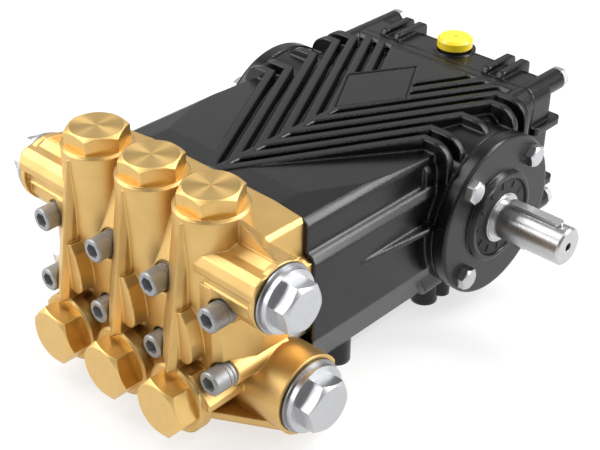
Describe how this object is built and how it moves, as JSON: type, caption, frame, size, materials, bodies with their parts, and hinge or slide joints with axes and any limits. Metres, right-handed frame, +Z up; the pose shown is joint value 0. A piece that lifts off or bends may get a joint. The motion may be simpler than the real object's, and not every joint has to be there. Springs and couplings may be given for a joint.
{
  "type": "high pressure pump",
  "caption": "Triplex plunger high pressure pump: brass manifold with hexagon valve caps on a finned black crankcase with a keyed drive shaft.",
  "frame": {"origin": "centre of the four foot holes, on the plane the feet stand on", "axes": "+X along the crankshaft towards the driven shaft end, +Y from the brass manifold to the rear cover, +Z up"},
  "size_m": [0.3231, 0.4205, 0.1892],
  "materials": {
    "case_black": "satin black enamel over a casting",
    "plate_dark": "satin, bare of print",
    "cast_brass": "shot-blasted casting",
    "turned_brass": "turned and milled",
    "zinc_steel": "zinc plated",
    "plug_steel": "zinc plated, turned",
    "shaft_steel": "ground",
    "washer_steel": "plated, with a bonded seal",
    "gasket_grey": "matt",
    "seal_rubber": "matt",
    "neck_plastic": "satin",
    "yellow_plastic": "glossy",
    "sight_glass": "clear, in a hexagon ring"
  },
  "bodies": {
    "housing": {"crankcase": "case_black", "name_plate": "plate_dark", "rear_cover": "case_black", "rear_cover_bolts": "zinc_steel", "bearing_gasket_right": "gasket_grey", "bearing_gasket_left": "gasket_grey", "bearing_cover_right": "case_black", "bearing_cover_left": "case_black", "cover_bolts_right": "zinc_steel", "cover_bolts_left": "zinc_steel", "shaft_seal": "seal_rubber", "manifold": "cast_brass", "delivery_valve_cap_left": "turned_brass", "suction_valve_cap_left": "turned_brass", "delivery_valve_cap_middle": "turned_brass", "suction_valve_cap_middle": "turned_brass", "delivery_valve_cap_right": "turned_brass", "suction_valve_cap_right": "turned_brass", "manifold_bolt_upper_1": "zinc_steel", "manifold_bolt_upper_2": "zinc_steel", "manifold_bolt_upper_3": "zinc_steel", "manifold_bolt_upper_4": "zinc_steel", "manifold_bolt_lower_1": "zinc_steel", "manifold_bolt_lower_2": "zinc_steel", "manifold_bolt_lower_3": "zinc_steel", "manifold_bolt_lower_4": "zinc_steel", "delivery_plug_right": "plug_steel", "inlet_plug_right": "plug_steel", "delivery_washer_right": "washer_steel", "inlet_washer_right": "washer_steel", "delivery_plug_left": "plug_steel", "inlet_plug_left": "plug_steel", "delivery_washer_left": "washer_steel", "inlet_washer_left": "washer_steel", "oil_filler_neck": "neck_plastic", "oil_filler_cap": "yellow_plastic", "oil_sight_glass": "sight_glass", "oil_drain_plug": "plug_steel"},
    "shaft": {"drive_shaft": "shaft_steel", "shaft_key": "shaft_steel"}
  },
  "joints": [
    {"name": "shaft_spin", "type": "hinge", "parent": "housing", "child": "shaft", "pos_m": [0.12, 0.081, 0.085], "axis": [1, 0, 0], "continuous": true}
  ]
}
